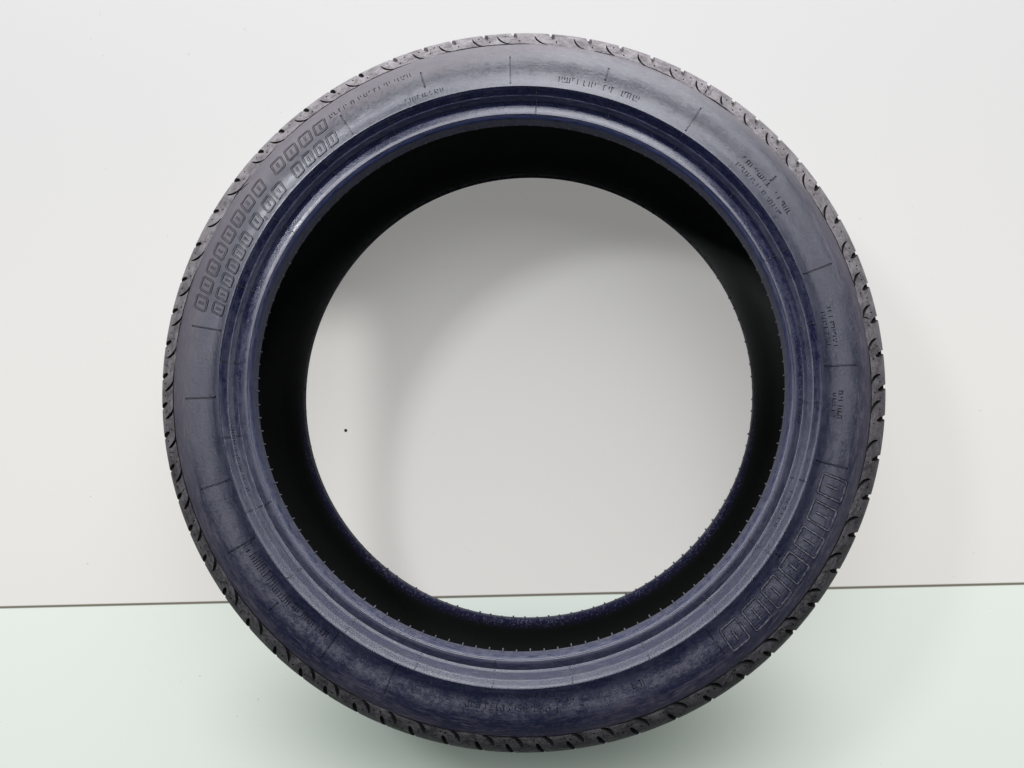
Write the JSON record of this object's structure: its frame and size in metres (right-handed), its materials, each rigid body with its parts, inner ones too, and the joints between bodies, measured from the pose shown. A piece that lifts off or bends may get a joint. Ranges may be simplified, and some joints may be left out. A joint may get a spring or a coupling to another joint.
{
  "type": "car tyre",
  "caption": "Worn low-profile car tyre lying flat, with bead seats, rim protector rings, plain sidewalls and a slotted shoulder.",
  "frame": {"origin": "middle of the face that the tyre lies on, on the tyre's own axis", "axes": "+Z along the tyre's axis, out of the sidewall that is seen; +Y is the way up of that sidewall when the tyre stands on its tread"},
  "size_m": [0.7099, 0.71, 0.239],
  "materials": {
    "tyre": "dull aged rubber, grey with dust on the shoulder, smoother and darker at the bead"
  },
  "bodies": {
    "root": {"tyre": "tyre"}
  },
  "joints": []
}
